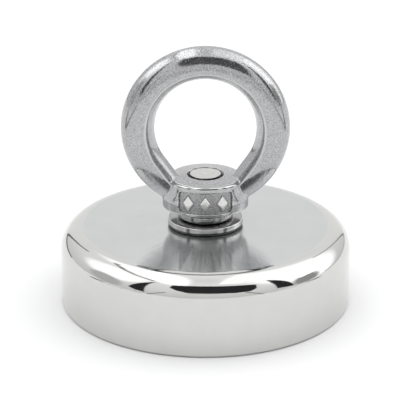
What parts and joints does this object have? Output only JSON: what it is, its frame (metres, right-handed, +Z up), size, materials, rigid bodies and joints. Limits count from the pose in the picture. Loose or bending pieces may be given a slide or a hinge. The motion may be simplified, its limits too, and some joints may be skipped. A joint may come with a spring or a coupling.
{
  "type": "fishing magnet",
  "caption": "Round pot magnet with a rounded shoulder and an eye nut screwed on top, for retrieving steel objects from water on a rope.",
  "frame": {"origin": "centre of the working face, the open underside of the pot, on the screw's axis", "axes": "+Z up along the screw from the working face to the eye, X across the ring of the eye, -Y out of the face of the collar that carries the recessed panel"},
  "size_m": [0.032, 0.032, 0.029],
  "materials": {
    "nickel_plate": "bright nickel plate on steel, turned satin on the flat top and polished on the shoulder and side",
    "magnet_nickel": "dull nickel plate on a sintered magnet",
    "adhesive": "cured amber adhesive film",
    "resin": "cast black epoxy with a slight meniscus",
    "screw_steel": "stainless steel, turned end and rolled thread",
    "washer_steel": "stamped and tumbled stainless steel",
    "cast_stainless": "investment-cast stainless steel, tumbled to a semi-gloss with fine grain in the recesses"
  },
  "bodies": {
    "magnet": {"pot_shell": "nickel_plate", "ring_magnet": "magnet_nickel", "bonding_film": "adhesive", "potting_resin": "resin", "countersunk_screw": "screw_steel"},
    "washer": {"flat_washer": "washer_steel"},
    "eye": {"eye_nut": "cast_stainless"}
  },
  "joints": [
    {"name": "eye_turn", "type": "hinge", "parent": "magnet", "child": "washer", "pos_m": [0, 0, 0], "axis": [0, 0, 1], "range_deg": [0, 2340]},
    {"name": "eye_rise", "type": "slide", "parent": "washer", "child": "eye", "axis": [0, 0, 1], "range_m": [0, 0.00455]}
  ],
  "couplings": [
    {"joint": "eye_rise", "follows": "eye_turn", "m_per_rad": 0.00011141}
  ]
}
